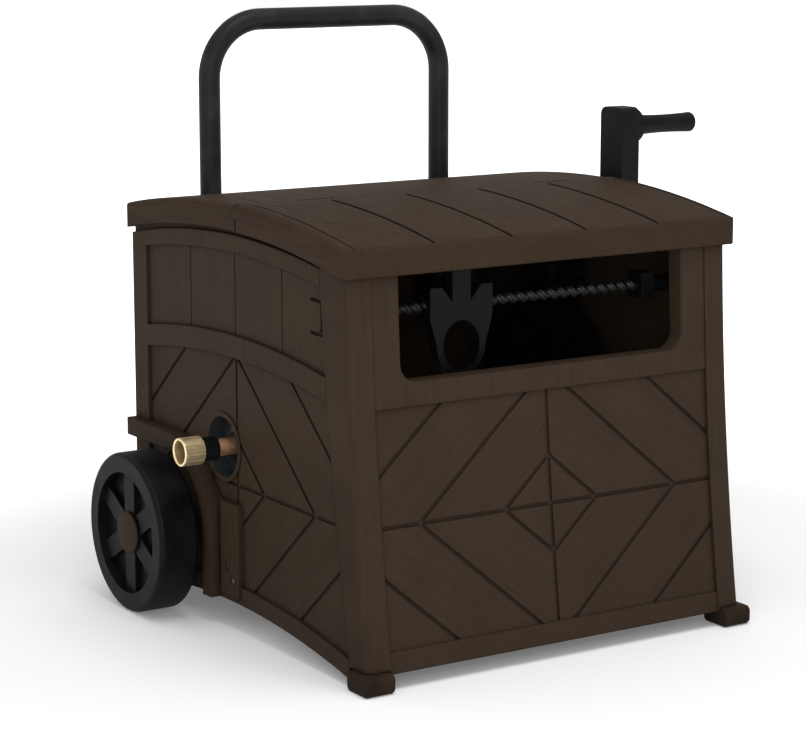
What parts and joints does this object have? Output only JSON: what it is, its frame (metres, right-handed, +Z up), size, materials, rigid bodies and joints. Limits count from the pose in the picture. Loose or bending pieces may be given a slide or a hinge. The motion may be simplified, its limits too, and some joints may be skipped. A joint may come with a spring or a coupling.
{
  "type": "hose reel box",
  "caption": "Wheeled resin box with a flip-up lid that houses a crank-driven hose reel with a traversing hose guide, a swivel inlet and a sliding pull handle",
  "frame": {"origin": "on the ground, under the middle of the part's outline in X and Y", "axes": "+X points from the inlet side to the crank side, +Y from the front window to the rear panel, +Z up"},
  "size_m": [0.751, 0.552, 0.7],
  "materials": {
    "resin": "fine-textured dark brown moulded resin",
    "resin_lid": "fine-textured brown moulded resin",
    "black_plastic": "satin black moulded plastic",
    "grey_plastic": "satin dark grey moulded plastic",
    "handle_paint": "black powder-coated steel tube",
    "steel": "plain zinc-plated steel",
    "brass": "plain machined brass",
    "seal": "black rubber"
  },
  "bodies": {
    "box": {"front_panel": "resin", "left_side_panel": "resin", "right_side_panel": "resin", "rear_panel": "resin", "rear_lid": "resin_lid", "lid_hinge_pins": "steel", "foot_left": "resin", "foot_right": "resin", "bottom_brace": "resin", "brace_screws": "steel", "handle_sleeve_left": "black_plastic", "handle_sleeve_right": "black_plastic", "axle": "steel", "axle_washers": "steel", "axle_push_nuts": "steel", "inlet_cup": "black_plastic", "reel_bush_left": "grey_plastic", "reel_bush_right": "grey_plastic", "crank_bush": "grey_plastic", "screw_bearing_left": "black_plastic", "screw_bearing_right": "black_plastic", "guide_rod": "steel", "idler_stud": "steel"},
    "front_lid": {"front_lid": "resin_lid"},
    "handle": {"handle_tube": "handle_paint", "handle_end_plugs": "black_plastic"},
    "wheel_left": {"wheel_left": "black_plastic", "hub_cap_left": "resin"},
    "wheel_right": {"wheel_right": "black_plastic", "hub_cap_right": "resin"},
    "reel": {"reel_drum": "black_plastic", "reel_flange_left": "black_plastic", "reel_flange_right": "black_plastic", "reel_shaft_left": "black_plastic", "reel_shaft_right": "black_plastic", "reel_drive_gear": "grey_plastic", "reel_train_gear": "grey_plastic", "hose_outlet": "brass", "inlet_tube": "brass", "inlet_collar": "black_plastic"},
    "idler": {"idler_gear": "grey_plastic", "idler_bush": "black_plastic"},
    "crank": {"crank_shaft": "steel", "crank_pinion": "grey_plastic", "crank_arm": "black_plastic", "grip_spindle": "steel"},
    "grip": {"crank_grip": "black_plastic"},
    "traverse": {"traverse_screw": "grey_plastic", "screw_gear": "grey_plastic"},
    "guide": {"hose_guide": "grey_plastic", "guide_follower": "black_plastic"},
    "inlet_nut": {"inlet_swivel_nut": "brass", "inlet_washer": "seal"}
  },
  "joints": [
    {"name": "lid_hinge", "type": "hinge", "parent": "box", "child": "front_lid", "pos_m": [-0.0505, -0.004, 0.48934], "axis": [-1, 0, 0], "range_deg": [0, 100]},
    {"name": "handle_slide", "type": "slide", "parent": "box", "child": "handle", "axis": [0, 0, 1], "range_m": [-0.125, 0]},
    {"name": "wheel_left_spin", "type": "hinge", "parent": "box", "child": "wheel_left", "pos_m": [-0.3505, 0.166, 0.095], "axis": [1, 0, 0], "continuous": true},
    {"name": "wheel_right_spin", "type": "hinge", "parent": "box", "child": "wheel_right", "pos_m": [0.2495, 0.166, 0.095], "axis": [1, 0, 0], "continuous": true},
    {"name": "reel_spin", "type": "hinge", "parent": "box", "child": "reel", "pos_m": [-0.0505, 0.054, 0.211], "axis": [1, 0, 0], "continuous": true},
    {"name": "crank_spin", "type": "hinge", "parent": "box", "child": "crank", "pos_m": [0.1655, 0.054, 0.379], "axis": [1, 0, 0], "continuous": true},
    {"name": "grip_spin", "type": "hinge", "parent": "crank", "child": "grip", "pos_m": [0.3295, 0.054, 0.552], "axis": [1, 0, 0], "continuous": true},
    {"name": "idler_spin", "type": "hinge", "parent": "box", "child": "idler", "pos_m": [-0.2655, -0.05759, 0.31124], "axis": [1, 0, 0], "continuous": true},
    {"name": "screw_spin", "type": "hinge", "parent": "box", "child": "traverse", "pos_m": [-0.0505, -0.162, 0.392], "axis": [1, 0, 0], "continuous": true},
    {"name": "guide_slide", "type": "slide", "parent": "box", "child": "guide", "axis": [1, 0, 0], "range_m": [-0.069, 0.207]},
    {"name": "inlet_nut_spin", "type": "hinge", "parent": "box", "child": "inlet_nut", "pos_m": [-0.3465, 0.054, 0.211], "axis": [1, 0, 0], "continuous": true}
  ],
  "couplings": [
    {"joint": "crank_spin", "follows": "reel_spin", "ratio": -2.2308},
    {"joint": "idler_spin", "follows": "reel_spin", "ratio": -0.47059},
    {"joint": "screw_spin", "follows": "reel_spin", "ratio": 1.6}
  ]
}
